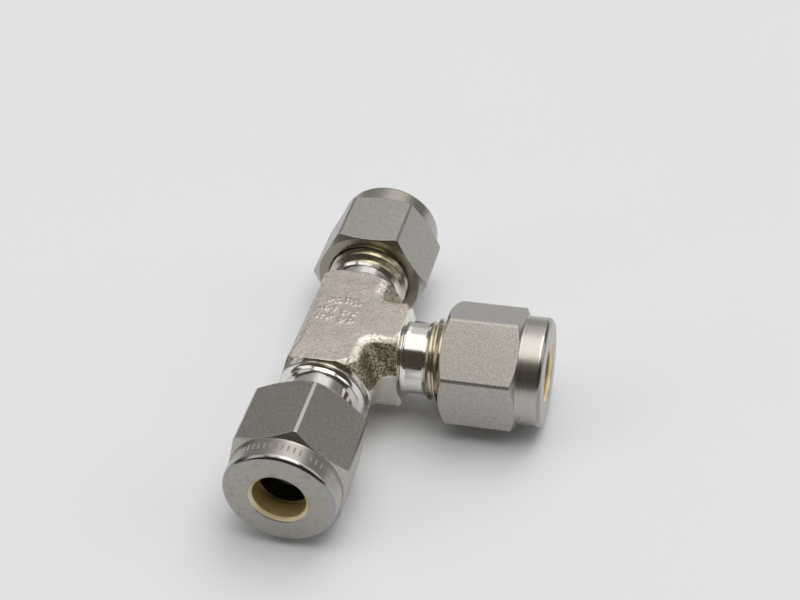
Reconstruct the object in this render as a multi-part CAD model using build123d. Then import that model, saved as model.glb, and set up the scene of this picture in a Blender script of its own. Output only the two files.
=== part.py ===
from build123d import *
import os
from math import cos, radians, tan

# Two-ferrule compression fitting: a union tee for 1/4 inch (6.35 mm) tube.
#
# Frame: the origin is where the three port axes cross. The run lies along Y, the branch
# points along +X and +Z is up. Each port is modelled along its own axis, with z measured
# outward from the origin, and is then turned to face its way. Lengths are in millimetres.
#
# The three nuts are backed off from finger-tight by BACKED_OFF, so all the parts that
# move with a nut are drawn finger-tight and then shifted outward by that amount.

# Ports: axis, the local x direction, and how far the nut's hexagon is turned (degrees)
PORTS = {
    "near": ((0, -1, 0), (1, 0, 0), 17.2),
    "far": ((0, 1, 0), (-1, 0, 0), 1.4),
    "branch": ((1, 0, 0), (0, 1, 0), 36.3),
}
BACKED_OFF = 0.70

# Forged tee: flats above and below, and drafted sides that meet at the flash line, a
# little above the middle. ARM is the half-width of each arm, SIDE is where the run's wall
# stands on the branch's side, and VALLEY_R rounds the two corners between run and branch.
# The shoulders are turned: a flat ring out to SHOULDER_FACE_R and a 45 degree cone.
BODY_HALF_HEIGHT = 5.9
FLASH_Z = 1.2
FLASH_ARM, FLAT_ARM = 5.5, 3.9
FLASH_BRANCH_SIDE, FLAT_BRANCH_SIDE = 6.8, 4.7
FLASH_VALLEY_R, FLAT_VALLEY_R = 2.1, 1.2
FLAT_EDGE_R = 1.3
SHOULDER_Z = 9.0
SHOULDER_FACE_R = 6.2
SHOULDER_CONE_REACH = 3.0

# Machined necks and the tube socket behind each one
NECK_R = 4.75
NECK_FILLET = 0.9
PASSAGE_R = 2.4
SOCKET_R = 3.22
TUBE_STOP_Z = 11.7
SOCKET_END_Z = 15.7
BODY_END_Z = 19.55
CONE_ANGLE = 12
MOUTH_CHAMFER = 0.15

# 7/16-20 UNF thread, 60 degree form, with running clearance between the two halves
PITCH = 25.4 / 20
PITCH_R = 5.144
THREAD_CLEARANCE = 0.04
THREAD_FOOT = 0.15
MALE_CREST_R = 5.53
MALE_ROOT_R = 4.78
FEMALE_CREST_R = 4.89
FEMALE_ROOT_R = 5.61
THREAD_PHASE_Z = 13.05
RUN_OUT_START_Z = 12.0
RUN_OUT_END_Z = 13.1
LEAD_CHAMFER = 0.65

# Nut, finger-tight
NUT_FLATS = 14.29
NUT_FACE_Z = 26.90
NUT_LENGTH = 12.98
HEX_LENGTH = 9.78
HEX_CORNER_R = 8.13
HEX_CHAMFER_ANGLE = 30
COLLAR_R = 7.05
COLLAR_EDGE_R = 0.65
NUT_MOUTH_R = 5.80
NUT_THREAD_LENGTH = 7.0
CAVITY_R = 4.60
NUT_BORE_R = 3.33
NUT_BORE_MOUTH_R = 3.81
SEAT_END_Z = 24.25

# Ferrules, finger-tight
FERRULE_BORE_R = 3.235
FERRULE_GAP = 0.03
FRONT_TIP_Z = 16.9
FRONT_REAR_Z = 21.9
FRONT_RIM_LENGTH = 0.8
FERRULE_STEP = 0.2
FRONT_RIM_R = 4.35
FRONT_BEVEL_R = 3.90
BACK_RIM_R = 4.30
BACK_NOSE_R = 3.30
BACK_FLANGE_Z = 22.1
BACK_RIM_LENGTH = 0.9
BACK_REAR_Z = 23.90


def turned(*points):
    """Solid of revolution about Z from (radius, z) corner points."""
    return revolve(Plane.XZ * make_face(Polyline(*points, close=True)), Axis.Z)


def thread_ridge(root_r, crest_r, pitch_r, z_low, z_high):
    """Helical 60 degree ridge that stands on a core of radius root_r."""
    buried_r = root_r - THREAD_FOOT
    slope = tan(radians(30))
    foot = PITCH / 4 + (pitch_r - buried_r) * slope
    crest = PITCH / 4 - (crest_r - pitch_r) * slope
    start_z = THREAD_PHASE_Z - PITCH * round((THREAD_PHASE_Z - z_low) / PITCH)
    section_plane = Plane(origin=(0, 0, start_z), x_dir=(1, 0, 0), z_dir=(0, -1, 0))
    section = section_plane * make_face(Polyline(
        (buried_r, -foot), (crest_r, -crest), (crest_r, crest), (buried_r, foot),
        close=True,
    ))
    path = Pos(0, 0, start_z) * Helix(PITCH, z_high - start_z, pitch_r)
    return sweep(section, path=path, is_frenet=True)


def tee_outline(z, arm, side, valley_r):
    """The forging's outline at one height: half-widths of an arm and of the branch side."""
    outline = make_face(Polyline(
        (-arm, -SHOULDER_Z),
        (side, -SHOULDER_Z),
        (side, -arm),
        (SHOULDER_Z, -arm),
        (SHOULDER_Z, arm),
        (side, arm),
        (side, SHOULDER_Z),
        (-arm, SHOULDER_Z),
        close=True,
    ))
    valleys = [v for v in outline.vertices() if abs(v.X - side) < 0.01 and abs(v.Y) < arm + 0.01]
    return Pos(0, 0, z) * fillet(valleys, valley_r)


def flat_edges(solid):
    """The edges around the top and bottom flats, apart from those at the arm ends."""
    def is_rim(edge):
        middle = edge @ 0.5
        on_flat = abs(abs(middle.Z) - BODY_HALF_HEIGHT) < 0.01
        at_end = max(abs(middle.Y), middle.X) > SHOULDER_Z - 0.01
        return on_flat and not at_end
    return [edge for edge in solid.edges() if is_rim(edge)]


def port_frame(name):
    axis, x_direction, _ = PORTS[name]
    return Plane(origin=(0, 0, 0), x_dir=x_direction, z_dir=axis)


def forging():
    """The tee as it leaves the dies, with its three shoulders faced."""
    flat = (FLAT_ARM, FLAT_BRANCH_SIDE, FLAT_VALLEY_R)
    flash = tee_outline(FLASH_Z, FLASH_ARM, FLASH_BRANCH_SIDE, FLASH_VALLEY_R)
    top = tee_outline(BODY_HALF_HEIGHT, *flat)
    bottom = tee_outline(-BODY_HALF_HEIGHT, *flat)
    tee = loft([flash, top], ruled=True) + loft([bottom, flash], ruled=True)
    tee = fillet(flat_edges(tee), FLAT_EDGE_R)
    corner_cut = turned(
        (SHOULDER_FACE_R, SHOULDER_Z),
        (SHOULDER_FACE_R + SHOULDER_CONE_REACH, SHOULDER_Z - SHOULDER_CONE_REACH),
        (SHOULDER_FACE_R + SHOULDER_CONE_REACH, SHOULDER_Z + 1),
        (SHOULDER_FACE_R, SHOULDER_Z + 1),
    )
    for name in PORTS:
        tee -= port_frame(name) * corner_cut
    return tee


def neck():
    """Machined neck with its male thread, still solid inside."""
    low_z = SHOULDER_Z - 1
    core = Pos(0, 0, low_z - 1) * Cylinder(
        MALE_ROOT_R, BODY_END_Z - low_z + 2, align=(Align.CENTER, Align.CENTER, Align.MIN)
    )
    ridge = thread_ridge(
        MALE_ROOT_R, MALE_CREST_R, PITCH_R - THREAD_CLEARANCE,
        RUN_OUT_START_Z - PITCH, BODY_END_Z + PITCH,
    )
    outer_r = MALE_CREST_R + 0.05
    envelope = turned(
        (0, low_z),
        (NECK_R, low_z),
        (NECK_R, RUN_OUT_START_Z),
        (outer_r, RUN_OUT_END_Z),
        (outer_r, BODY_END_Z - LEAD_CHAMFER),
        (outer_r - LEAD_CHAMFER, BODY_END_Z),
        (0, BODY_END_Z),
    )
    fillet_r = NECK_R + NECK_FILLET
    root = turned(
        (NECK_R - 0.2, SHOULDER_Z - 0.5),
        (fillet_r, SHOULDER_Z - 0.5),
        (fillet_r, SHOULDER_Z + NECK_FILLET),
        (NECK_R - 0.2, SHOULDER_Z + NECK_FILLET),
    )
    hollow = Pos(0, 0, SHOULDER_Z + NECK_FILLET) * Torus(fillet_r, NECK_FILLET)
    return (core + ridge) & envelope, root - hollow


def socket():
    """The space inside one port: passage, tube socket and ferrule cone."""
    cone_r = SOCKET_R + (BODY_END_Z - SOCKET_END_Z) * tan(radians(CONE_ANGLE))
    return turned(
        (0, 0),
        (PASSAGE_R, 0),
        (PASSAGE_R, TUBE_STOP_Z),
        (SOCKET_R, TUBE_STOP_Z),
        (SOCKET_R, SOCKET_END_Z),
        (cone_r, BODY_END_Z),
        (cone_r + MOUTH_CHAMFER, BODY_END_Z + 0.01),
        (0, BODY_END_Z + 0.01),
    )


def tee_body():
    body = forging()
    threaded, root = neck()
    for name in PORTS:
        body += port_frame(name) * threaded
        body += port_frame(name) * root
    for name in PORTS:
        body -= port_frame(name) * socket()
    return body


def nut(name):
    """Hexagon nut with a turned collar, an internal thread and a ferrule seat."""
    hex_turn = PORTS[name][2]
    low_z = NUT_FACE_Z - NUT_LENGTH
    sharp_corner_r = NUT_FLATS / 2 / cos(radians(30))
    chamfer_r = NUT_FLATS / 2 - 0.02
    chamfer = (HEX_CORNER_R - chamfer_r) * tan(radians(HEX_CHAMFER_ANGLE))
    hexagon = extrude(
        Pos(0, 0, low_z) * RegularPolygon(sharp_corner_r, 6, rotation=hex_turn), HEX_LENGTH
    )
    # The bar's corners are turned down to a narrow round strip, and chamfered at both ends
    envelope = turned(
        (0, low_z),
        (chamfer_r, low_z),
        (HEX_CORNER_R, low_z + chamfer),
        (HEX_CORNER_R, low_z + HEX_LENGTH - chamfer),
        (chamfer_r, low_z + HEX_LENGTH),
        (0, low_z + HEX_LENGTH),
    )
    collar = Pos(0, 0, low_z + HEX_LENGTH - 1) * Cylinder(
        COLLAR_R, NUT_LENGTH - HEX_LENGTH + 1, align=(Align.CENTER, Align.CENTER, Align.MIN)
    )
    collar = fillet(collar.edges().filter_by(GeomType.CIRCLE).sort_by(Axis.Z)[-1],
                    COLLAR_EDGE_R)
    blank = (hexagon & envelope) + collar

    thread_top = low_z + NUT_THREAD_LENGTH
    seat_start = SEAT_END_Z - (CAVITY_R - NUT_BORE_R)
    bore = turned(
        (0, low_z - 0.01),
        (NUT_MOUTH_R, low_z - 0.01),
        (FEMALE_CREST_R, low_z + NUT_MOUTH_R - FEMALE_CREST_R),
        (FEMALE_CREST_R, thread_top),
        (CAVITY_R, thread_top + FEMALE_CREST_R - CAVITY_R),
        (CAVITY_R, seat_start),
        (NUT_BORE_R, SEAT_END_Z),
        (NUT_BORE_R, NUT_FACE_Z - (NUT_BORE_MOUTH_R - NUT_BORE_R)),
        (NUT_BORE_MOUTH_R, NUT_FACE_Z),
        (NUT_BORE_MOUTH_R, NUT_FACE_Z + 0.01),
        (0, NUT_FACE_Z + 0.01),
    )
    # The groove is the male ridge with clearance, so it is in phase after the shift
    groove = Pos(0, 0, -BACKED_OFF) * thread_ridge(
        FEMALE_CREST_R, FEMALE_ROOT_R, PITCH_R + THREAD_CLEARANCE,
        low_z + BACKED_OFF - PITCH, thread_top + BACKED_OFF,
    )
    groove &= Pos(0, 0, low_z - 1) * Cylinder(
        FEMALE_ROOT_R + 1, NUT_THREAD_LENGTH + 1, align=(Align.CENTER, Align.CENTER, Align.MIN)
    )
    return blank - bore - groove


def front_ferrule():
    """Long cone that wedges into the body, with a bevel behind for the back ferrule."""
    slope = tan(radians(CONE_ANGLE))
    tip_r = SOCKET_R + (FRONT_TIP_Z - SOCKET_END_Z) * slope - FERRULE_GAP
    cone_end_z = FRONT_REAR_Z - FRONT_RIM_LENGTH
    cone_end_r = tip_r + (cone_end_z - FRONT_TIP_Z) * slope
    return turned(
        (FERRULE_BORE_R, FRONT_TIP_Z),
        (tip_r, FRONT_TIP_Z),
        (cone_end_r, cone_end_z),
        (FRONT_RIM_R, cone_end_z + FERRULE_STEP),
        (FRONT_RIM_R, FRONT_REAR_Z),
        (FRONT_BEVEL_R, FRONT_REAR_Z),
        (FERRULE_BORE_R, FRONT_REAR_Z - (FRONT_BEVEL_R - FERRULE_BORE_R)),
    )


def back_ferrule():
    """Short ring with a nose for the front ferrule's bevel and a rear for the nut's seat."""
    nose_z = FRONT_REAR_Z - (FRONT_BEVEL_R - BACK_NOSE_R) + 2 * FERRULE_GAP
    nose_end_r = FRONT_BEVEL_R - 2 * FERRULE_GAP
    nose_end_z = nose_z + nose_end_r - BACK_NOSE_R
    rim_start_z = BACK_FLANGE_Z + FERRULE_STEP
    rim_end_z = rim_start_z + BACK_RIM_LENGTH
    return turned(
        (FERRULE_BORE_R, nose_z),
        (BACK_NOSE_R, nose_z),
        (nose_end_r, nose_end_z),
        (nose_end_r, BACK_FLANGE_Z),
        (BACK_RIM_R, rim_start_z),
        (BACK_RIM_R, rim_end_z),
        (BACK_RIM_R - (BACK_REAR_Z - rim_end_z), BACK_REAR_Z),
        (FERRULE_BORE_R, BACK_REAR_Z),
    )


def write(node, solid):
    solid.label = node
    export_step(solid, os.path.join("parts", node + ".step"))


os.makedirs("parts", exist_ok=True)
write("tee_body", tee_body())
for port in PORTS:
    outward = port_frame(port).location * Pos(0, 0, BACKED_OFF)
    write(port + "_nut", outward * nut(port))
    write(port + "_front_ferrule", outward * front_ferrule())
    write(port + "_back_ferrule", outward * back_ferrule())
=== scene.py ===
"""Looks of the two-ferrule union tee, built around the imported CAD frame.

The nuts and ferrules stay as their CAD nodes with procedural materials. The tee body is
replaced by a mesh that joins its CAD necks and sockets to a blasted forging, whose grain,
die marks and parting line are real relief.
"""

import math
from contextlib import contextmanager

import bmesh
import bpy
import numpy as np
from mathutils import Matrix, Vector, noise


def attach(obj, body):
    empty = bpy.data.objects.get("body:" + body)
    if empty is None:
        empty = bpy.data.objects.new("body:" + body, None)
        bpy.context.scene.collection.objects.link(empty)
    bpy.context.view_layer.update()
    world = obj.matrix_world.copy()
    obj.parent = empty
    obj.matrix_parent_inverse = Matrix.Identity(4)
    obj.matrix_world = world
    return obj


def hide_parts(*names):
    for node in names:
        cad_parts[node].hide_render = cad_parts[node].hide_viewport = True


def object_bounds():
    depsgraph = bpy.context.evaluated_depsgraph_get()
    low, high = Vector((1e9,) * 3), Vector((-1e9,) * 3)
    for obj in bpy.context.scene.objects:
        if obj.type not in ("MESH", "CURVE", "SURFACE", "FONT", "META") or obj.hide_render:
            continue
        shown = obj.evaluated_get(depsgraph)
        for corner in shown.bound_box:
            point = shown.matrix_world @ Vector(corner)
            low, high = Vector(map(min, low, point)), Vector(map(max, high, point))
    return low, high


MM = 0.001

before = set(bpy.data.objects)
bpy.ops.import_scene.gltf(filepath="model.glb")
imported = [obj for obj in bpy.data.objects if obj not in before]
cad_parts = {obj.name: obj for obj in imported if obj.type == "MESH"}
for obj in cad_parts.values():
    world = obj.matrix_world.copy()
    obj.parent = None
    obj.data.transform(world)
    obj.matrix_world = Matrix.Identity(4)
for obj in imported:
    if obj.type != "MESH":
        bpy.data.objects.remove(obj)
cad_low, cad_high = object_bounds()

# Ports: the axis of each one, pointing outward
PORTS = {
    "near": Vector((0, -1, 0)),
    "far": Vector((0, 1, 0)),
    "branch": Vector((1, 0, 0)),
}

# Forging, in mm: the same outline and heights as the CAD tee, with its two flats at
# HALF_HEIGHT and the parting line at FLASH_Z. INNER_CUT_R hollows the skin round the CAD's
# own core, and CORE_WALL is how far that core reaches beyond it.
HALF_HEIGHT = 5.9
FLASH_Z = 1.2
FLASH_ARM, FLAT_ARM = 5.5, 3.9
FLASH_SIDE, FLAT_SIDE = 6.8, 4.7
FLASH_VALLEY_R, FLAT_VALLEY_R = 2.1, 1.2
EDGE_R = 1.35
CORNER_ROWS = 6
SHOULDER_S = 9.0
SHOULDER_R = 6.2
INNER_CUT_R = 3.0
CORE_WALL = 0.6

# The skin: voxel size, how far it stands over the CAD surface, and the least it may
SKIN_VOXEL = 0.13
SKIN_PROUD = 0.035
SKIN_LEAST = 0.006
SHARP_ANGLE = math.radians(32)

# The parting line's cut stub, on the side away from the branch
STUB_Y = 3.0
STUB_HEIGHT = 0.12
PARTING_HEIGHT, PARTING_WIDTH = 0.08, 0.22

# The threads begin at this distance from the crossing of the ports
THREADS_FROM = 13.1

# Nut, in mm: places along its port axis, and radii. The collar's rounded lip begins at
# LIP_START, the end face lies beyond FACE_S, and the bore is coated beyond COATED_FROM.
HEX_START, HEX_END = 14.62, 24.40
LIP_START = 26.8
FACE_S = 27.0
COATED_FROM = 24.0
CORNER_R = 8.13
COLLAR_R = 7.05
BORE_R, BORE_MOUTH_R = 3.33, 3.81


# ---------------------------------------------------------------- nodes

class Tree:
    """A material's node tree with short calls to add and join nodes."""

    def __init__(self, tree):
        self.tree = tree
        tree.nodes.clear()

    def node(self, kind, inputs=None, **settings):
        made = self.tree.nodes.new(kind)
        for name, value in settings.items():
            setattr(made, name, value)
        for key, value in (inputs or {}).items():
            self.feed(made.inputs[key], value)
        return made

    def feed(self, socket, value):
        if isinstance(value, bpy.types.NodeSocket):
            self.tree.links.new(value, socket)
        else:
            socket.default_value = value

    def math(self, operation, *values):
        made = self.node("ShaderNodeMath", operation=operation)
        for socket, value in zip(made.inputs, values):
            self.feed(socket, value)
        return made.outputs[0]

    def vector(self, operation, *values):
        made = self.node("ShaderNodeVectorMath", operation=operation)
        for socket, value in zip(made.inputs, values):
            self.feed(socket, value)
        return made.outputs["Value" if operation in ("DOT_PRODUCT", "LENGTH") else "Vector"]

    def step(self, value, low, high):
        """0 below low, 1 above high, smooth between."""
        made = self.node(
            "ShaderNodeMapRange", {"Value": value, "From Min": low, "From Max": high},
            interpolation_type="SMOOTHSTEP",
        )
        return made.outputs[0]

    def fall(self, value, low, high):
        """1 below low, 0 above high, smooth between."""
        return self.math("SUBTRACT", 1.0, self.step(value, low, high))

    def product(self, first, *others):
        for other in others:
            first = self.math("MULTIPLY", first, other)
        return first

    def noise(self, position, scale, detail=2.0, roughness=0.5):
        made = self.node("ShaderNodeTexNoise", {
            "Vector": position, "Scale": scale, "Detail": detail, "Roughness": roughness,
        })
        return made.outputs["Fac"]

    def spread(self, value, low, high):
        """Maps 0..1 to low..high."""
        return self.math("MULTIPLY_ADD", value, high - low, low)

    def mix(self, factor, a, b):
        made = self.node("ShaderNodeMix", data_type="RGBA")
        self.feed(made.inputs["Factor"], factor)
        self.feed(made.inputs["A"], a)
        self.feed(made.inputs["B"], b)
        return made.outputs["Result"]

    def blend(self, factor, a, b):
        made = self.node("ShaderNodeMix", data_type="FLOAT")
        self.feed(made.inputs[0], factor)
        self.feed(made.inputs[2], a)
        self.feed(made.inputs[3], b)
        return made.outputs[0]

    def bump(self, height, strength, distance, normal=None):
        inputs = {"Height": height, "Strength": strength, "Distance": distance}
        if normal is not None:
            inputs["Normal"] = normal
        return self.node("ShaderNodeBump", inputs).outputs[0]

    def surface(self, shader_inputs):
        shader = self.node("ShaderNodeBsdfPrincipled", shader_inputs)
        out = self.node("ShaderNodeOutputMaterial")
        self.tree.links.new(shader.outputs[0], out.inputs["Surface"])


def material(name):
    """A new material and its empty node tree."""
    made = bpy.data.materials.new(name)
    made.use_nodes = True
    return made, Tree(made.node_tree)


def rgb(r, g, b):
    return (r, g, b, 1.0)


def position_mm(t):
    """Position on the object, in mm."""
    return scaled(t, t.node("ShaderNodeTexCoord").outputs["Object"], 1 / MM)


def scaled(t, vector, factor):
    made = t.node("ShaderNodeVectorMath", operation="SCALE")
    t.feed(made.inputs[0], vector)
    made.inputs["Scale"].default_value = factor
    return made.outputs[0]


def axial(t, position, axis):
    """Distance along the axis, distance from it, and the vector from it."""
    s = t.vector("DOT_PRODUCT", position, tuple(axis))
    along = t.node("ShaderNodeVectorMath", operation="SCALE")
    along.inputs[0].default_value = tuple(axis)
    t.feed(along.inputs["Scale"], s)
    off = t.vector("SUBTRACT", position, along.outputs[0])
    return s, t.vector("LENGTH", off), off


def rings(t, value, pitch):
    """Fine turning marks: noise that varies along value only, so that it makes rings."""
    line = t.node("ShaderNodeCombineXYZ", {"X": value})
    return t.noise(line.outputs[0], 1 / pitch, 3.0, 0.65)


# ---------------------------------------------------------------- materials

def forged_steel():
    """Blasted steel: fine grain, coarse with painted shade in the valleys, painted light below the
    parting line, and worn bright with a painted highlight on the rims, with a painted highlight
    along the parting line.
    """
    made, t = material("forged_steel")
    p = position_mm(t)
    x, y, z = t.node("ShaderNodeSeparateXYZ", {"Vector": p}).outputs
    broad = t.noise(p, 0.55, 3.0)
    grain = t.noise(p, 5.5, 2.0, 0.65)
    lumps = t.noise(p, 3.2, 2.0, 0.65)
    fine = t.noise(p, 9.0, 2.0, 0.6)
    top = HALF_HEIGHT

    # Where: the top flat's rims, the coarse walls (in the valleys and by the near neck), the
    # parting line, and the side away from the branch
    above_flash = t.step(z, FLASH_Z - 0.1, FLASH_Z + 0.3)
    rim = t.product(t.step(z, top - 0.55, top - 0.30), t.fall(z, top - 0.06, top + 0.05))
    walls = t.product(above_flash, t.fall(z, top - 0.7, top - 0.3))
    near_side = t.fall(y, -4.6, -3.2)
    coarse = t.product(walls, t.math("MAXIMUM", t.step(x, 0.5, 3.2), near_side))
    parting = t.product(t.step(z, FLASH_Z - 0.3, FLASH_Z - 0.1),
                        t.fall(z, FLASH_Z + 0.1, FLASH_Z + 0.3))
    back = t.fall(x, -4.6, -3.9)

    tone = t.math("ADD", t.product(broad, 0.25), t.product(grain, 0.75))
    tone = t.step(tone, 0.36, 0.64)
    clean = t.mix(tone, rgb(0.45, 0.405, 0.375), rgb(0.66, 0.605, 0.565))
    # Painted shade: the coarse walls' colour is darkened for the shade in the valleys and by the
    # near neck, over their real coarse grain
    coarse_and_shaded = t.mix(t.step(lumps, 0.42, 0.62), rgb(0.16, 0.14, 0.09), rgb(0.60, 0.55, 0.43))
    colour = t.mix(coarse, clean, coarse_and_shaded)
    # Painted light: below the parting line the colour is lighter, for the floor's light on the
    # downward-facing sides
    under = t.mix(tone, rgb(0.72, 0.68, 0.60), rgb(0.95, 0.90, 0.82))
    colour = t.mix(t.math("SUBTRACT", 1.0, above_flash), colour, under)
    # Painted highlight, partly wear: the rims are brightened toward cream for the overhead light's
    # highlight on the rounded edge
    rim_wear_and_highlight = t.product(rim, t.step(lumps, 0.36, 0.56))
    colour = t.mix(rim_wear_and_highlight, colour, rgb(0.93, 0.88, 0.79))
    # Painted highlight: a bright cream line along the parting line, where its ridge catches the
    # light
    parting_highlight = t.product(parting, t.step(grain, 0.35, 0.55))
    colour = t.mix(parting_highlight, colour, rgb(0.95, 0.90, 0.81))
    rough = t.spread(t.step(fine, 0.35, 0.65), 0.42, 0.27)

    # Relief: deeper in the valleys, shallower on the back
    depth = t.math("MULTIPLY_ADD", coarse, 0.8, 1.0)
    depth = t.math("SUBTRACT", depth, t.product(back, 0.6))
    mixed = t.blend(coarse, grain, lumps)
    height = t.product(t.math("MULTIPLY_ADD", fine, 0.5, mixed), depth)
    normal = t.bump(height, 1.0, 0.085 * MM)
    t.surface({"Base Color": colour, "Metallic": 1.0, "Roughness": rough, "Normal": normal})
    return made


def machined_steel():
    """Bright turned necks, and threads with a thin brown film."""
    made, t = material("machined_steel")
    p = position_mm(t)
    broad = t.noise(p, 0.9, 2.0)
    fine = t.noise(p, 9.0, 2.0)
    reach = t.vector("LENGTH", p)
    threads = t.step(reach, THREADS_FROM, THREADS_FROM + 0.3)
    colour = t.mix(broad, rgb(0.78, 0.755, 0.72), rgb(0.86, 0.84, 0.81))
    colour = t.mix(threads, colour, rgb(0.62, 0.575, 0.475))
    rough = t.math("ADD", t.spread(fine, 0.09, 0.17), t.product(threads, 0.08))
    normal = t.bump(fine, 0.05, 0.01 * MM)
    t.surface({"Base Color": colour, "Metallic": 1.0, "Roughness": rough, "Normal": normal})
    return made


# How bright each nut's end face is: painted light and shade, lighter or darker per nut for how the
# light falls on it
FACE_LIGHT_AND_SHADE = {"near": 0.41, "far": 0.49, "branch": 0.56}


def nut_steel(port):
    """Satin flats, turned corners, collar and end faces, and a dry yellow coat in the bore."""
    axis = PORTS[port]
    made, t = material(port + "_nut_steel")
    p = position_mm(t)
    s, r, off = axial(t, p, axis)
    local = t.node("ShaderNodeTexCoord").outputs["Normal"]
    along = t.math("ABSOLUTE", t.vector("DOT_PRODUCT", local, tuple(axis)))

    # Where: end face, rear face, flats, corners, rounded lip of the collar, coated bore
    is_face = t.step(along, 0.93, 0.97)
    end_face = t.product(is_face, t.step(s, FACE_S, FACE_S + 0.3))
    rear_face = t.math("SUBTRACT", is_face, end_face)
    on_hex = t.product(t.step(s, HEX_START - 0.2, HEX_START - 0.1),
                       t.fall(s, HEX_END - 0.03, HEX_END + 0.03))
    corner = t.step(r, CORNER_R - 0.05, CORNER_R - 0.02)
    flats = t.product(on_hex, t.fall(along, 0.05, 0.15), t.math("SUBTRACT", 1.0, corner))
    corners = t.product(on_hex, corner)
    lip = t.product(t.step(s, LIP_START, LIP_START + 0.2), t.step(along, 0.15, 0.45),
                    t.math("SUBTRACT", 1.0, is_face))
    coated = t.product(t.fall(r, BORE_MOUTH_R - 0.11, BORE_MOUTH_R - 0.03),
                       t.step(s, COATED_FROM, COATED_FROM + 0.3))
    mouth = t.step(r, BORE_R + 0.03, BORE_R + 0.11)

    speck = t.noise(p, 7.0, 3.0, 0.65)
    fine = t.noise(p, 9.0, 2.0, 0.6)
    broad = t.noise(p, 0.5, 2.0)
    brushed = t.noise(t.vector("ADD", scaled(t, p, 5.0), scaled(t, off, 9.0)), 1.0)
    marks = t.blend(is_face, rings(t, s, 0.16), rings(t, r, 0.16))
    grain = t.math("ADD", t.product(speck, 0.6), t.product(brushed, 0.4))
    pits = t.fall(t.noise(p, 1.1, 4.0, 0.75), 0.36, 0.47)

    flat_colour = t.mix(t.step(grain, 0.38, 0.62), rgb(0.33, 0.315, 0.295), rgb(0.59, 0.565, 0.53))
    turned_colour = t.mix(t.step(marks, 0.35, 0.65), rgb(0.43, 0.41, 0.38), rgb(0.53, 0.505, 0.47))
    steel = t.mix(flats, turned_colour, flat_colour)
    steel = t.mix(corners, steel, rgb(0.46, 0.44, 0.41))
    # Painted reflection: the rear face's dark brown stands in for the dark body it mirrors
    steel = t.mix(rear_face, steel, rgb(0.33, 0.305, 0.24))
    # Painted shade: the lip's dark blue-grey stands in for the dark band the collar's rounded edge
    # reflects
    steel = t.mix(lip, steel, rgb(0.33, 0.335, 0.34))
    # Painted light and shade: each nut's end face gets its own brightness for the light that falls
    # on it
    tone = FACE_LIGHT_AND_SHADE[port]
    face_colour = t.mix(t.product(pits, 0.45),
                        rgb(tone, tone * 0.96, tone * 0.87),
                        rgb(tone * 0.60, tone * 0.56, tone * 0.48))
    steel = t.mix(end_face, steel, face_colour)
    steel = t.mix(t.product(broad, 0.15), steel, rgb(0.45, 0.43, 0.40))
    coat = t.mix(mouth, rgb(0.54, 0.42, 0.19), rgb(0.92, 0.78, 0.53))
    coat = t.mix(t.product(t.step(speck, 0.5, 0.8), 0.35), coat, rgb(0.35, 0.27, 0.12))
    colour = t.mix(coated, steel, coat)

    rough = t.blend(flats, t.spread(marks, 0.22, 0.34), t.spread(grain, 0.28, 0.42))
    rough = t.blend(lip, rough, 0.15)
    rough = t.blend(end_face, rough, 0.38)
    rough = t.blend(rear_face, rough, 0.22)
    rough = t.blend(coated, rough, 0.42)
    metal = t.blend(coated, 1.0, 0.35)

    height = t.blend(flats, marks, t.math("ADD", grain, t.product(fine, 0.5)))
    height = t.product(height, t.spread(corners, 1.0, 0.2))
    broken_edge = t.node("ShaderNodeBevel", {"Radius": 0.12 * MM}, samples=6).outputs[0]
    normal = t.bump(height, 0.3, 0.018 * MM, broken_edge)
    t.surface({"Base Color": colour, "Metallic": metal, "Roughness": rough, "Normal": normal})
    return made


def ferrule_steel():
    """Fine turned steel."""
    made, t = material("ferrule_steel")
    p = position_mm(t)
    fine = t.noise(p, 10.0, 2.0)
    colour = t.mix(fine, rgb(0.66, 0.64, 0.60), rgb(0.76, 0.74, 0.70))
    t.surface({
        "Base Color": colour, "Metallic": 1.0, "Roughness": t.spread(fine, 0.16, 0.28),
        "Normal": t.bump(fine, 0.1, 0.01 * MM),
    })
    return made


def floor_white():
    """Matt pale floor with a faint cloud of tone."""
    made, t = material("floor_white")
    p = position_mm(t)
    cloud = t.noise(p, 0.02, 2.0)
    colour = t.mix(cloud, rgb(0.81, 0.835, 0.88), rgb(0.825, 0.85, 0.895))
    t.surface({"Base Color": colour, "Roughness": 0.75, "Specular IOR Level": 0.15})
    return made


# ---------------------------------------------------------------- tee body

def outline(arm, side, valley_r, steps=8):
    """The forging's outline at one height, as points in order."""
    def line(a, b, n):
        return [(a[0] + (b[0] - a[0]) * i / n, a[1] + (b[1] - a[1]) * i / n) for i in range(n)]

    def valley(sign):
        """Quarter circle tangent to the run's side and the arm's side."""
        centre = (side + valley_r, sign * (arm + valley_r))
        turns = [math.pi + sign * math.pi / 2 * i / steps for i in range(steps + 1)]
        return [(centre[0] + valley_r * math.cos(a), centre[1] + valley_r * math.sin(a))
                for a in turns]

    end = SHOULDER_S
    near = valley(-1)
    far = valley(1)[::-1]
    points = line((-arm, end), (-arm, -end), 6)
    points += line((-arm, -end), (side, -end), 4)
    points += line((side, -end), near[0], 4)
    points += near
    points += line(near[-1], (end, -arm), 3)[1:]
    points += line((end, -arm), (end, arm), 4)
    points += line((end, arm), far[0], 3)
    points += far
    points += line(far[-1], (side, end), 4)[1:]
    points += line((side, end), (-arm, end), 4)
    return np.array(points)


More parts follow.
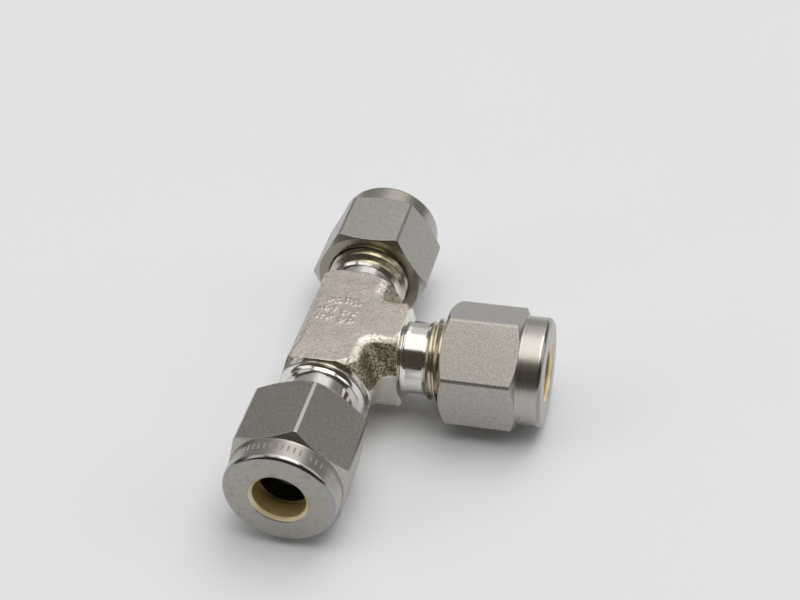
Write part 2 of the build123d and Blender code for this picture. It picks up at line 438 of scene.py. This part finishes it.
def skin_rows():
    """Rings of the forging's surface from the bottom flat to the top one."""
    flash = outline(FLASH_ARM, FLASH_SIDE, FLASH_VALLEY_R)
    flat = outline(FLAT_ARM, FLAT_SIDE, FLAT_VALLEY_R)
    ahead = np.roll(flat, -1, axis=0) - np.roll(flat, 1, axis=0)
    inward = np.stack([-ahead[:, 1], ahead[:, 0]], axis=1)
    inward /= np.linalg.norm(inward, axis=1)[:, None]
    ends = (np.abs(flat[:, 1]) > SHOULDER_S - 0.01) | (flat[:, 0] > SHOULDER_S - 0.01)
    inward[ends] = 0

    def row(z_flat, fraction):
        z = FLASH_Z + (z_flat - FLASH_Z) * fraction
        xy = flash + (flat - flash) * fraction
        return np.column_stack([xy, np.full(len(xy), z)])

    def corner(z_flat):
        """Rows round the edge of a flat, ending on the flat itself."""
        height = abs(z_flat - FLASH_Z)
        lean = math.atan((FLASH_ARM - FLAT_ARM) / height)
        turn = math.pi / 2 - lean
        reach = EDGE_R * math.tan(turn / 2)
        weight = math.cos(turn / 2)
        start = row(z_flat, 1 - reach * math.cos(lean) / height)
        tip = row(z_flat, 1)
        stop = tip + np.column_stack([inward * reach, np.zeros(len(tip))])
        rows = []
        for i in range(CORNER_ROWS + 1):
            u = i / CORNER_ROWS
            parts = ((1 - u) ** 2, 2 * u * (1 - u) * weight, u ** 2)
            rows.append((start * parts[0] + tip * parts[1] + stop * parts[2]) / sum(parts))
        return rows

    low = corner(-HALF_HEIGHT)[::-1]
    high = corner(HALF_HEIGHT)
    return low + [row(HALF_HEIGHT, 0)] + high


def mesh_object(name, vertices, faces):
    """A new object in the scene from vertices in mm."""
    data = bpy.data.meshes.new(name)
    data.from_pydata([Vector(v) * MM for v in vertices], [], faces)
    data.validate()
    made = bpy.data.objects.new(name, data)
    bpy.context.scene.collection.objects.link(made)
    return made


@contextmanager
def edited(obj):
    """An object's mesh as a bmesh, written back at the end."""
    bm = bmesh.new()
    bm.from_mesh(obj.data)
    yield bm
    bm.to_mesh(obj.data)
    bm.free()


def face_outward(obj):
    with edited(obj) as bm:
        bmesh.ops.recalc_face_normals(bm, faces=bm.faces[:])


def apply_modifiers(obj):
    depsgraph = bpy.context.evaluated_depsgraph_get()
    data = bpy.data.meshes.new_from_object(obj.evaluated_get(depsgraph))
    obj.modifiers.clear()
    obj.data = data


def ring_sides(rings, n):
    """Faces between one ring of n vertices and the next."""
    faces = []
    for k in range(rings - 1):
        for i in range(n):
            j = (i + 1) % n
            faces.append((k * n + i, k * n + j, (k + 1) * n + j, (k + 1) * n + i))
    return faces


def coarse_forging():
    """The forging's smooth form, before its grain."""
    rows = skin_rows()
    n = len(rows[0])
    vertices = [tuple(v) for row in rows for v in row]
    faces = ring_sides(len(rows), n)
    last = (len(rows) - 1) * n
    faces.append(tuple(range(last, last + n)))
    faces.append(tuple(reversed(range(n))))
    made = mesh_object("forging", vertices, faces)
    with edited(made) as bm:
        bmesh.ops.triangulate(bm, faces=bm.faces[:])
        bmesh.ops.recalc_face_normals(bm, faces=bm.faces[:])
    return made


# Die marks on the top flat, in mm: clusters of plain pips that stand for no letters, each
# as its centre, its radius and its number of pips
CLUSTERS = [((-1.65, 2.65), 0.36, 3), ((-0.65, 2.45), 0.36, 3), ((-1.9, 0.85), 0.34, 3),
            ((-0.7, 0.95), 0.34, 3), ((-2.1, -0.85), 0.40, 4), ((-0.95, -0.8), 0.36, 3),
            ((0.9, 2.75), 0.40, 4), ((2.1, 2.5), 0.42, 4), ((1.0, 0.5), 0.42, 4),
            ((2.1, 0.45), 0.36, 3), ((0.9, -1.15), 0.34, 3), ((2.1, -1.15), 0.34, 3)]
MARK_HEIGHT = 0.17
PIP_SPREAD = 0.045


def pips():
    """Each cluster's pips as (x, y, height)."""
    made = []
    for k, ((cx, cy), reach, count) in enumerate(CLUSTERS):
        for i in range(count):
            turn = 2 * math.pi * i / count + k * 1.7
            out = reach * (1.0 + 0.12 * math.sin(3.1 * i + k))
            level = MARK_HEIGHT * (0.75 + 0.25 * math.cos(2.3 * i + 1.9 * k))
            made.append((cx + out * math.cos(turn), cy + out * math.sin(turn), level))
    return made


PIPS = pips()


def mark_height(x, y):
    """Relief of the die marks at a point of the top flat."""
    return max(level * math.exp(-((x - px) ** 2 + (y - py) ** 2) / PIP_SPREAD)
               for px, py, level in PIPS)


def read(items, name, width=1, kind=float):
    """One attribute of every item of a mesh as an array, with a row for each item."""
    values = np.zeros(len(items) * width, dtype=kind)
    items.foreach_get(name, values)
    return values.reshape(-1, width) if width > 1 else values


def roughen(obj):
    """Moves the skin's vertices outward by the grain, the die marks and the parting line."""
    data = obj.data
    co = read(data.vertices, "co", 3) / MM
    normals = read(data.vertices, "normal", 3)
    lift = np.zeros(len(co))
    for i, (x, y, z) in enumerate(co):
        p = Vector((x, y, z))
        wave = noise.noise(p * 0.45) * 0.02
        grain = noise.noise(p * 1.9) * 0.5 + noise.noise(p * 3.7 + Vector((9, 3, 7))) * 0.5
        valley = math.exp(-((x - 6.5) ** 2 + (abs(y) - FLASH_ARM) ** 2) / 9.0)
        rim = math.exp(-((abs(z) - (HALF_HEIGHT - 0.4)) / 0.4) ** 2)
        height = SKIN_PROUD + wave + grain * (0.020 + 0.050 * valley + 0.020 * rim)
        if z > HALF_HEIGHT - 0.1 and -3.2 < x < 3.2 and -2.2 < y < 3.8:
            height += mark_height(x, y)
        if abs(z - FLASH_Z) < 0.8:
            ragged = 0.6 + 0.4 * noise.noise(Vector((x, y, 0)) * 1.3)
            stub = math.exp(-((x + FLASH_ARM) ** 2 + ((y - STUB_Y) / 1.3) ** 2))
            ridge = math.exp(-((z - FLASH_Z) / PARTING_WIDTH) ** 2)
            height += (PARTING_HEIGHT * ragged + STUB_HEIGHT * stub) * ridge
        lift[i] = max(height, SKIN_LEAST)
    co += normals * lift[:, None]
    data.vertices.foreach_set("co", (co * MM).ravel())
    data.update()


def revolved(name, profile, axis, segments=96):
    """Closed solid of revolution about a port axis from (radius, s) points on both ends."""
    x_direction = axis.orthogonal().normalized()
    y_direction = axis.cross(x_direction)
    vertices = []
    for r, s in profile:
        for i in range(segments):
            a = 2 * math.pi * i / segments
            vertices.append(axis * s + (x_direction * math.cos(a) + y_direction * math.sin(a)) * r)
    n = segments
    faces = ring_sides(len(profile), n)
    faces.append(tuple(reversed(range(n))))
    last = (len(profile) - 1) * n
    faces.append(tuple(range(last, last + n)))
    made = mesh_object(name, vertices, faces)
    face_outward(made)
    return made


def boolean(target, operation, other):
    """Applies the operation and removes the other object."""
    modifier = target.modifiers.new("cut", "BOOLEAN")
    modifier.operation = operation
    modifier.object = other
    modifier.solver = "MANIFOLD"
    modifier.material_mode = "TRANSFER"
    apply_modifiers(target)
    bpy.data.objects.remove(other)


def cad_copy(node):
    """The CAD node's own mesh, welded into one closed surface."""
    made = bpy.data.objects.new(node + "_copy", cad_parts[node].data.copy())
    bpy.context.scene.collection.objects.link(made)
    with edited(made) as bm:
        bmesh.ops.remove_doubles(bm, verts=bm.verts[:], dist=1e-7)
    return made


def shade(obj):
    """Smooth shading with sharp edges kept, and normals weighted by face area."""
    obj.data.shade_smooth()
    obj.data.set_sharp_from_angle(angle=SHARP_ANGLE)
    weighted = obj.modifiers.new("normals", "WEIGHTED_NORMAL")
    weighted.keep_sharp = True
    weighted.weight = 90
    apply_modifiers(obj)


def corner_table(data):
    """For each face corner: its place as a key, its normal and its face's normal."""
    normals = read(data.corner_normals, "vector", 3)
    vertex = read(data.loops, "vertex_index", kind=int)
    microns = np.round(read(data.vertices, "co", 3)[vertex] * 1e6).astype(int)
    sizes = read(data.polygons, "loop_total", kind=int)
    flat = np.repeat(read(data.polygons, "normal", 3), sizes, axis=0)
    return [tuple(m) for m in microns.tolist()], normals, flat


def keep_cad_normals(obj, node):
    """Gives a cut copy of a CAD node that node's own normals wherever its vertices remain."""
    known = {}
    places, normals, _ = corner_table(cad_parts[node].data)
    for place, normal in zip(places, normals):
        known.setdefault(place, []).append(normal)
    places, normals, flat = corner_table(obj.data)
    for i, place in enumerate(places):
        choices = known.get(place)
        if choices:
            best = max(choices, key=lambda n: float(n @ flat[i]))
            if best @ flat[i] > 0.7:
                normals[i] = best
    obj.data.normals_split_custom_set(normals)


def necks_and_core():
    """The CAD tee without its forging's skin: necks, sockets and the core round the bores."""
    body = cad_copy("tee_body")
    edge = SHOULDER_S - 0.1
    shell = revolved("shell", [(20.0, -20.0), (20.0, edge)], PORTS["near"])
    core_r = INNER_CUT_R + CORE_WALL
    core_ends = {"near": SHOULDER_S, "far": 21.0, "branch": SHOULDER_S}
    for name, end in core_ends.items():
        core = revolved("core_" + name, [(core_r, -core_r / 2), (core_r, end)], PORTS[name], 64)
        boolean(shell, "DIFFERENCE", core)
    for name in ("far", "branch"):
        neck = revolved("keep_" + name, [(25.0, edge), (25.0, 30.0)], PORTS[name], 64)
        boolean(shell, "DIFFERENCE", neck)
    boolean(body, "DIFFERENCE", shell)
    return body


def rough_forging():
    """The forging's skin, trimmed to just under the turned shoulders and hollowed."""
    forging = coarse_forging()
    remesh = forging.modifiers.new("voxels", "REMESH")
    remesh.mode = "VOXEL"
    remesh.voxel_size = SKIN_VOXEL * MM
    apply_modifiers(forging)
    roughen(forging)
    hidden = 0.02
    reach = 3.2
    for name, axis in PORTS.items():
        beyond = revolved("beyond_" + name, [
            (SHOULDER_R, SHOULDER_S - hidden),
            (SHOULDER_R + reach, SHOULDER_S - reach - hidden),
            (SHOULDER_R + reach, SHOULDER_S + 1),
        ], axis)
        boolean(forging, "DIFFERENCE", beyond)
        inner = revolved("inner_" + name, [
            (INNER_CUT_R, -INNER_CUT_R / 2), (INNER_CUT_R, SHOULDER_S + 1),
        ], axis, 48)
        boolean(forging, "DIFFERENCE", inner)
    return forging


def use_material(obj, chosen):
    obj.data.materials.clear()
    obj.data.materials.append(chosen)


def tee_body():
    """The CAD's necks and core joined to the rough forging."""
    forging = rough_forging()
    use_material(forging, FORGED)
    body = necks_and_core()
    use_material(body, MACHINED)
    boolean(body, "UNION", forging)
    body.name = "tee_forging_and_necks"
    shade(body)
    keep_cad_normals(body, "tee_body")
    return body


# ---------------------------------------------------------------- collar marks

# Plain raised bars, evenly spaced like a scale, in place of the collar's stamped mark
TICK_TURNS = [-60 + 6 * k for k in range(19)]
TICK_S = 25.65
TICK_LENGTH, TICK_WIDTH, TICK_TOP = 0.95, 0.30, 0.07
TICK_SUNK, TICK_SLOPE = 0.05, 0.10


def collar_ticks(port):
    """Each bar is a low block with sloping sides, sunk a little into the collar."""
    axis = PORTS[port]
    up = Vector((0, 0, 1))
    side = up.cross(axis)
    vertices = []
    faces = []
    for turn in TICK_TURNS:
        for r, inset in ((COLLAR_R - TICK_SUNK, 0.0), (COLLAR_R + TICK_TOP, TICK_SLOPE)):
            for ds, da in ((-1, -1), (-1, 1), (1, 1), (1, -1)):
                a = math.radians(turn) + da * (TICK_WIDTH / 2 - inset) / COLLAR_R
                s = TICK_S + ds * (TICK_LENGTH / 2 - inset)
                vertices.append(axis * s + (up * math.cos(a) + side * math.sin(a)) * r)
        n = len(vertices) - 8
        faces.append((n + 4, n + 5, n + 6, n + 7))
        faces.append((n + 3, n + 2, n + 1, n))
        for i in range(4):
            j = (i + 1) % 4
            faces.append((n + i, n + j, n + 4 + j, n + 4 + i))
    made = mesh_object(port + "_collar_ticks", vertices, faces)
    face_outward(made)
    return made


# ---------------------------------------------------------------- stage

# Camera, fitted to the photograph: angles in degrees, lengths in mm
VIEW_AZIMUTH, VIEW_ELEVATION, VIEW_ROLL = 16.297, 39.008, -4.069
VIEW_DISTANCE = 195.99
VIEW_AIM = Vector((5.344, 11.098, 0.0))
LENS = 64.51

# Half the floor's width, in metres
FLOOR_SIZE = 1.5


def add_camera():
    """The photograph's view of the fitting."""
    a, e, roll = (math.radians(v) for v in (VIEW_AZIMUTH, VIEW_ELEVATION, VIEW_ROLL))
    back = Vector((math.sin(a) * math.cos(e), -math.cos(a) * math.cos(e), math.sin(e)))
    right = (-back).cross(Vector((0, 0, 1))).normalized()
    up = right.cross(-back)
    x = right * math.cos(roll) + up * math.sin(roll)
    y = -right * math.sin(roll) + up * math.cos(roll)
    data = bpy.data.cameras.new("camera")
    data.lens = LENS
    data.sensor_width = 36
    data.clip_start, data.clip_end = 0.005, 20
    camera = bpy.data.objects.new("camera", data)
    camera.matrix_world = Matrix.Translation((VIEW_AIM + back * VIEW_DISTANCE) * MM) @ \
        Matrix((x, y, back)).transposed().to_4x4()
    bpy.context.scene.collection.objects.link(camera)
    bpy.context.scene.camera = camera


def add_floor():
    made = mesh_object("floor", [], [])
    with edited(made) as bm:
        bmesh.ops.create_grid(bm, x_segments=8, y_segments=8, size=FLOOR_SIZE)
        bmesh.ops.translate(bm, verts=bm.verts[:], vec=(0, 0, cad_low.z))
    made.data.materials.append(floor_white())


def add_world():
    """Soft studio light from patches of sky, and a plain pale backdrop for the camera."""
    world = bpy.data.worlds.new("studio")
    world.use_nodes = True
    bpy.context.scene.world = world
    t = Tree(world.node_tree)
    direction = t.node("ShaderNodeTexCoord").outputs["Generated"]
    parts = t.node("ShaderNodeSeparateXYZ", {"Vector": direction})
    x, y, z = parts.outputs

    def patch(*ranges):
        """1 inside the given (value, low, high, softness) ranges, 0 outside."""
        inside = None
        for value, low_edge, high_edge, soft in ranges:
            for edge in (t.step(value, low_edge - soft, low_edge + soft),
                         t.fall(value, high_edge - soft, high_edge + soft)):
                inside = edge if inside is None else t.product(inside, edge)
        return inside

    front_dark = rgb(0.060, 0.050, 0.038)
    back_left = rgb(0.30, 0.295, 0.29)
    back_middle = rgb(0.44, 0.435, 0.425)
    back_right = rgb(0.20, 0.195, 0.19)
    back = t.mix(t.step(x, -0.65, -0.2), back_left, back_middle)
    back = t.mix(t.step(x, 0.1, 0.6), back, back_right)
    colour = t.mix(t.step(y, -0.25, 0.3), front_dark, back)
    window = patch((x, -0.20, 0.38, 0.14), (z, 0.50, 2.0, 0.08), (y, 0.45, 2.0, 0.05))
    colour = t.mix(window, colour, rgb(0.90, 0.88, 0.86))
    edge = patch((x, -0.40, 0.2, 0.06), (y, -0.43, 0.47, 0.06), (z, 0.2, 2.0, 0.05))
    colour = t.mix(edge, colour, rgb(1.33, 1.30, 1.24))
    overhead = patch((x, -0.05, 0.50, 0.05), (y, -0.37, 0.55, 0.04), (z, 0.2, 2.0, 0.05))
    colour = t.mix(overhead, colour, rgb(3.05, 2.96, 2.83))
    fill_right = patch((x, 0.62, 0.96, 0.05), (y, -0.15, 0.45, 0.06), (z, 0.1, 2.0, 0.05))
    colour = t.mix(fill_right, colour, rgb(1.2, 1.18, 1.16))
    fill_left = patch((x, -0.85, -0.50, 0.06), (y, -0.60, 0.10, 0.06), (z, 0.2, 2.0, 0.05))
    colour = t.mix(fill_left, colour, rgb(1.1, 1.08, 1.06))
    lit = t.node("ShaderNodeBackground", {"Color": colour, "Strength": 1.0})
    seen = t.node("ShaderNodeBackground", {"Color": rgb(0.78, 0.78, 0.785), "Strength": 1.0})
    path = t.node("ShaderNodeLightPath")
    both = t.node("ShaderNodeMixShader", {
        0: path.outputs["Is Camera Ray"], 1: lit.outputs[0], 2: seen.outputs[0],
    })
    out = t.node("ShaderNodeOutputWorld")
    world.node_tree.links.new(both.outputs[0], out.inputs["Surface"])


# ---------------------------------------------------------------- build

FORGED = forged_steel()
MACHINED = machined_steel()

add_camera()
add_world()
add_floor()

body = tee_body()
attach(body, "tee")
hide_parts("tee_body")

for port in PORTS:
    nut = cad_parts[port + "_nut"]
    nut.material_slots[0].material = nut_steel(port)

ticks = collar_ticks("near")
ticks.data.materials.append(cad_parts["near_nut"].material_slots[0].material)
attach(ticks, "near_nut")

ferrule = ferrule_steel()
for port in PORTS:
    for part in ("_front_ferrule", "_back_ferrule"):
        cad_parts[port + part].material_slots[0].material = ferrule

bpy.context.scene.view_settings.view_transform = "Standard"
